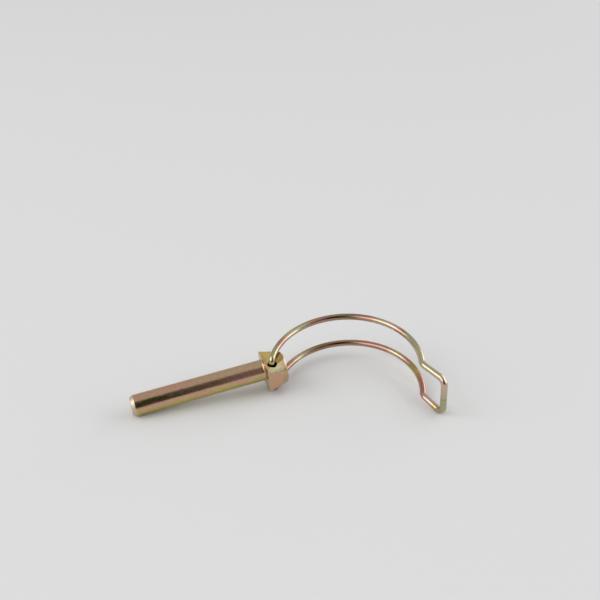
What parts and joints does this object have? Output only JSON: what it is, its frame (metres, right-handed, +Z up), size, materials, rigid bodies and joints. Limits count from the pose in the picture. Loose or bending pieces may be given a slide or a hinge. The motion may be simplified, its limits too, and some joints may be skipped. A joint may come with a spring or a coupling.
{
  "type": "lynch pin",
  "caption": "Round steel pin with a square drilled head and a bowed wire bail hinged in it, which swings over the tip to lock the pin in a cross hole.",
  "frame": {"origin": "on the floor under the middle of the part's outline, as it lies at rest with the bail open", "axes": "+X along the shank from its tip towards the head and the bail's end bar, +Y towards the back of the bow, +Z up"},
  "size_m": [0.1352, 0.0678, 0.027],
  "materials": {
    "plated_pin": "yellow chromate zinc plate, satin",
    "plated_wire": "yellow chromate zinc plate, bright"
  },
  "bodies": {
    "pin": {"pin": "plated_pin"},
    "bail": {"wire_bail": "plated_wire"}
  },
  "joints": [
    {"name": "bail_swing", "type": "hinge", "parent": "pin", "child": "bail", "pos_m": [-0.00111, 0.01182, 0.01024], "axis": [-0.0906, -0.1336, 0.9869], "continuous": true}
  ]
}
